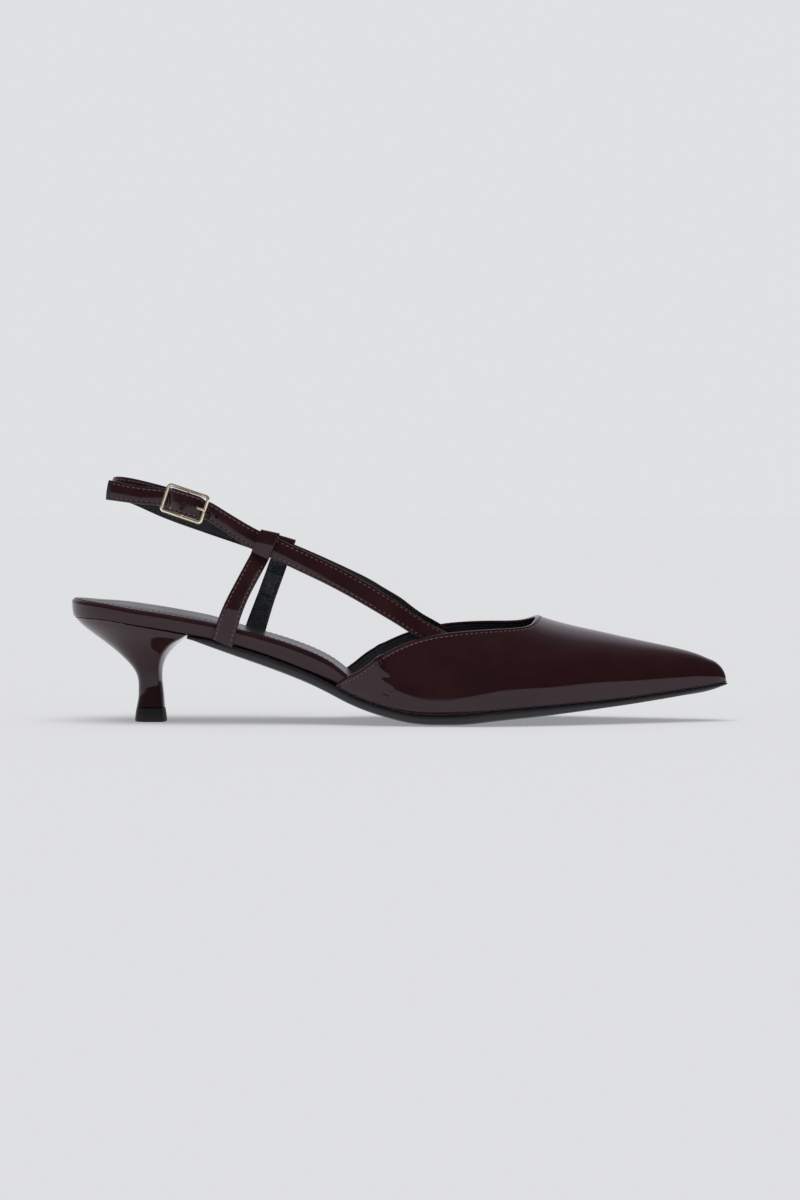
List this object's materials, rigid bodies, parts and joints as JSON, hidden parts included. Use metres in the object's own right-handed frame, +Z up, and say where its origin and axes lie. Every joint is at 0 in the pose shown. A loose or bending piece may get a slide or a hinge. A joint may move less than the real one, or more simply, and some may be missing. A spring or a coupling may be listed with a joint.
{
  "type": "slingback pump",
  "caption": "Right slingback pump with a pointed patent toe, a low curved kitten heel, a buckled sling strap round the heel and a leaning looped strap on each side.",
  "frame": {"origin": "middle of the ground face of the heel's top piece", "axes": "+X to the toe, +Y to the inner side of the foot, +Z up"},
  "size_m": [0.2625, 0.0802, 0.0979],
  "materials": {
    "outsole": "satin black",
    "rand": "high-gloss burgundy patent",
    "sock": "satin black lining leather",
    "heel": "high-gloss burgundy patent",
    "top_piece": "matt black",
    "upper": "high-gloss burgundy patent",
    "side_straps": "high-gloss burgundy patent",
    "sling": "high-gloss burgundy patent",
    "buckle": "polished light gold"
  },
  "bodies": {
    "root": {"outsole": "outsole", "wrapped_insole": "rand", "insole_sock": "sock", "heel": "heel", "top_piece": "top_piece", "upper": "upper", "side_strap_outer": "side_straps", "side_strap_inner": "side_straps", "sling_strap_outer": "sling", "sling_strap_heel": "sling", "buckle_frame": "buckle", "buckle_prong": "buckle"}
  },
  "joints": []
}
